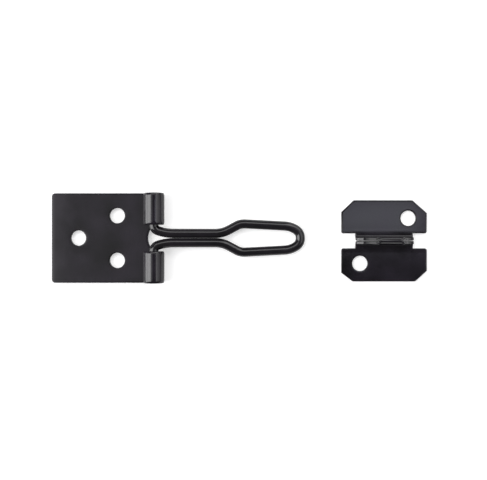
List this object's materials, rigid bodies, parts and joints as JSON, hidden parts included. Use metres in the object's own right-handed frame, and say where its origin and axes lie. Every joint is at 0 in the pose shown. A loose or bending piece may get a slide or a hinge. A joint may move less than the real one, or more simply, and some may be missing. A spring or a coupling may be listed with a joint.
{
  "type": "wire safety hasp with folded staple",
  "caption": "Sheet steel plate with rolled knuckles that carry a bent wire loop, and a separate folded staple with a padlock hole.",
  "frame": {"origin": "centre of the circle through the hasp plate's three screw holes, on the face that is screwed to the door", "axes": "+X from the hasp plate along the loop to the staple, +Y to the left of that, +Z away from the surface that both plates are screwed to"},
  "size_m": [0.1342, 0.032, 0.0143],
  "materials": {
    "black_sheet": "satin black electrocoat on pressed sheet steel",
    "black_wire": "satin black electrocoat on drawn steel wire"
  },
  "bodies": {
    "plates": {"hasp_plate": "black_sheet", "staple_plate": "black_sheet"},
    "loop": {"wire_loop": "black_wire"}
  },
  "joints": [
    {"name": "loop_hinge", "type": "hinge", "parent": "plates", "child": "loop", "pos_m": [0.018, 0, 0.00373], "axis": [0, -1, 0], "range_deg": [0, 182]}
  ]
}
